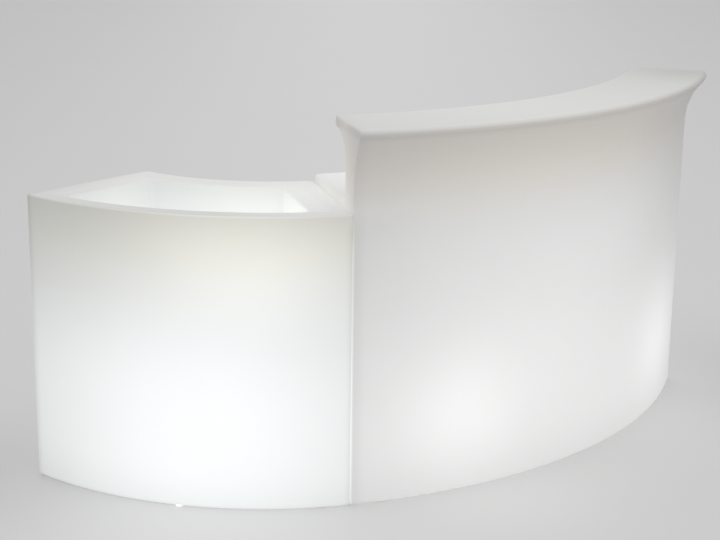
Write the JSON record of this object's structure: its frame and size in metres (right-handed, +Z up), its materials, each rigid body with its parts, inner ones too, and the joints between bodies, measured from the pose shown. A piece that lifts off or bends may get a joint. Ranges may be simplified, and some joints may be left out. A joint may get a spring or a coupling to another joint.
{
  "type": "bar counter with shelves",
  "caption": "Curved, internally lit bar counter: a low module with an open-topped well beside a tall module with a flared counter top, with niches and loose shelves on the staff side.",
  "frame": {"origin": "on the floor under the middle of the counter's bounding box", "axes": "+Z up, +X along the seam's tangent from the low module to the tall one, -Y towards the guests, +Y towards the staff"},
  "size_m": [2.2814, 1.083, 1.1],
  "materials": {
    "shell": "fine satin, translucent, lit from inside",
    "shelf": "satin white board",
    "steel": "zinc plated",
    "stainless": "brushed",
    "brass": "turned",
    "foot": "matt",
    "nylon": "natural nylon",
    "lamp_plate": "moulded white",
    "porcelain": "glazed",
    "globe": "opal, lit",
    "gland": "grey nylon",
    "switch": "black",
    "rocker": "black",
    "chrome": "polished",
    "stopper": "matt"
  },
  "bodies": {
    "counter": {"low_shell": "shell", "tall_shell": "shell", "shelf_pins": "steel", "foot_inserts": "brass", "low_glide": "nylon", "link_plate_1": "stainless", "link_plate_2": "stainless", "link_screws": "steel", "link_inserts": "brass", "lamp_plate_1": "lamp_plate", "lamp_stem_1": "steel", "lamp_holder_1": "porcelain", "lamp_cap_1": "steel", "lamp_globe_1": "globe", "lamp_plate_2": "lamp_plate", "lamp_stem_2": "steel", "lamp_holder_2": "porcelain", "lamp_cap_2": "steel", "lamp_globe_2": "globe", "lamp_plate_3": "lamp_plate", "lamp_stem_3": "steel", "lamp_holder_3": "porcelain", "lamp_cap_3": "steel", "lamp_globe_3": "globe", "lamp_screws": "steel", "gland_1": "gland", "switch_frame_1": "switch", "gland_2": "gland", "switch_frame_2": "switch", "gland_nuts": "gland", "drain_fitting": "chrome", "drain_nut": "nylon"},
    "foot_1": {"foot_pad_1": "foot", "foot_stud_1": "steel"},
    "foot_2": {"foot_pad_2": "foot", "foot_stud_2": "steel"},
    "foot_3": {"foot_pad_3": "foot", "foot_stud_3": "steel"},
    "foot_4": {"foot_pad_4": "foot", "foot_stud_4": "steel"},
    "foot_5": {"foot_pad_5": "foot", "foot_stud_5": "steel"},
    "foot_6": {"foot_pad_6": "foot", "foot_stud_6": "steel"},
    "foot_7": {"foot_pad_7": "foot", "foot_stud_7": "steel"},
    "foot_8": {"foot_pad_8": "foot", "foot_stud_8": "steel"},
    "foot_9": {"foot_pad_9": "foot", "foot_stud_9": "steel"},
    "foot_10": {"foot_pad_10": "foot", "foot_stud_10": "steel"},
    "shelf_1": {"shelf_1": "shelf"},
    "shelf_2": {"shelf_2": "shelf"},
    "shelf_3": {"shelf_3": "shelf"},
    "shelf_4": {"shelf_4": "shelf"},
    "rocker_1": {"rocker_1": "rocker"},
    "rocker_2": {"rocker_2": "rocker"},
    "stopper": {"drain_stopper": "stopper"}
  },
  "joints": [
    {"name": "foot_1_screw", "type": "slide", "parent": "counter", "child": "foot_1", "axis": [0, 0, -1], "range_m": [0, 0.015]},
    {"name": "foot_2_screw", "type": "slide", "parent": "counter", "child": "foot_2", "axis": [0, 0, -1], "range_m": [0, 0.015]},
    {"name": "foot_3_screw", "type": "slide", "parent": "counter", "child": "foot_3", "axis": [0, 0, -1], "range_m": [0, 0.015]},
    {"name": "foot_4_screw", "type": "slide", "parent": "counter", "child": "foot_4", "axis": [0, 0, -1], "range_m": [0, 0.015]},
    {"name": "foot_5_screw", "type": "slide", "parent": "counter", "child": "foot_5", "axis": [0, 0, -1], "range_m": [0, 0.015]},
    {"name": "foot_6_screw", "type": "slide", "parent": "counter", "child": "foot_6", "axis": [0, 0, -1], "range_m": [0, 0.015]},
    {"name": "foot_7_screw", "type": "slide", "parent": "counter", "child": "foot_7", "axis": [0, 0, -1], "range_m": [0, 0.015]},
    {"name": "foot_8_screw", "type": "slide", "parent": "counter", "child": "foot_8", "axis": [0, 0, -1], "range_m": [0, 0.015]},
    {"name": "foot_9_screw", "type": "slide", "parent": "counter", "child": "foot_9", "axis": [0, 0, -1], "range_m": [0, 0.015]},
    {"name": "foot_10_screw", "type": "slide", "parent": "counter", "child": "foot_10", "axis": [0, 0, -1], "range_m": [0, 0.015]},
    {"name": "shelf_1_out", "type": "slide", "parent": "counter", "child": "shelf_1", "axis": [0.4772, 0.8788, 0], "range_m": [0, 0.33]},
    {"name": "shelf_2_out", "type": "slide", "parent": "counter", "child": "shelf_2", "axis": [-0.1736, 0.9848, 0], "range_m": [0, 0.3]},
    {"name": "shelf_3_out", "type": "slide", "parent": "counter", "child": "shelf_3", "axis": [-0.5, 0.866, 0], "range_m": [0, 0.3]},
    {"name": "shelf_4_out", "type": "slide", "parent": "counter", "child": "shelf_4", "axis": [-0.766, 0.6428, 0], "range_m": [0, 0.3]},
    {"name": "rocker_1_tip", "type": "hinge", "parent": "counter", "child": "rocker_1", "pos_m": [-0.46135, -0.00759, 0.045], "axis": [0.9587, -0.2843, 0], "range_deg": [-24, 0]},
    {"name": "rocker_2_tip", "type": "hinge", "parent": "counter", "child": "rocker_2", "pos_m": [0.37236, 0.18755, 0.045], "axis": [0.8123, 0.5833, 0], "range_deg": [-24, 0]},
    {"name": "stopper_lift", "type": "slide", "parent": "counter", "child": "stopper", "axis": [0, 0, 1], "range_m": [0, 0.08]}
  ]
}
